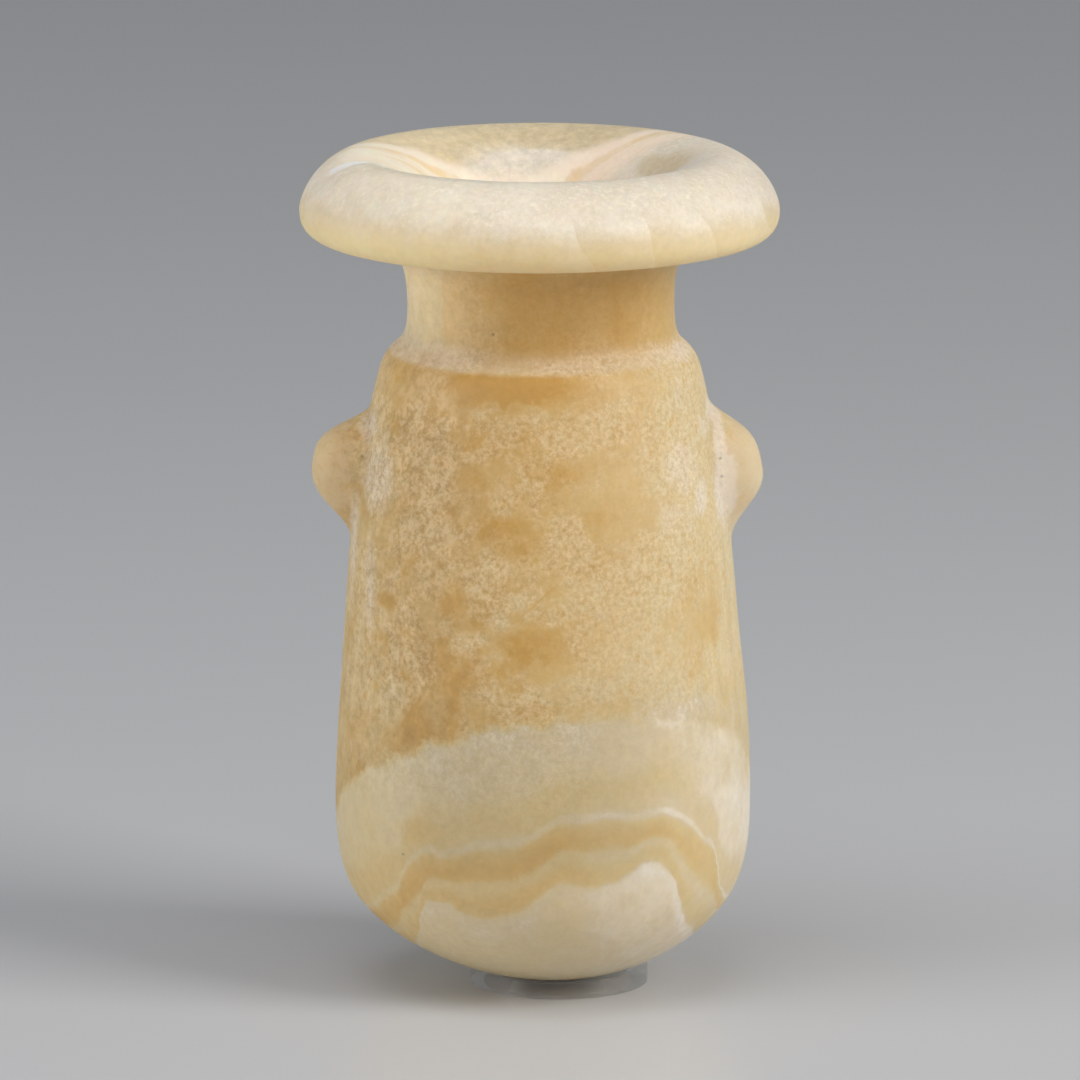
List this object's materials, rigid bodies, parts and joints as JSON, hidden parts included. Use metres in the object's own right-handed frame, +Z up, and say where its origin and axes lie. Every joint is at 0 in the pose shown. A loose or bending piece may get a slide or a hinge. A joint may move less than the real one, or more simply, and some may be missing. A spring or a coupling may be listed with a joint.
{
  "type": "handled alabaster vase",
  "caption": "Carved banded alabaster vase with a broad rolled rim, long round-bottomed body and solid lug handles, standing in a low clear display ring.",
  "frame": {"origin": "on the table, under the middle of the rim and of the whole object's box; the display ring's flat foot is at Z = 0", "axes": "+Z up along the vase's height, +X from lug to lug, towards the lug with the lower nose, and the pictured front faces -Y"},
  "size_m": [0.094, 0.094, 0.1659],
  "materials": {
    "alabaster": "honey and cream banded alabaster, softly weathered, satin",
    "clear_acrylic": "polished clear acrylic"
  },
  "bodies": {
    "root": {"vase": "alabaster", "display_ring": "clear_acrylic"}
  },
  "joints": []
}
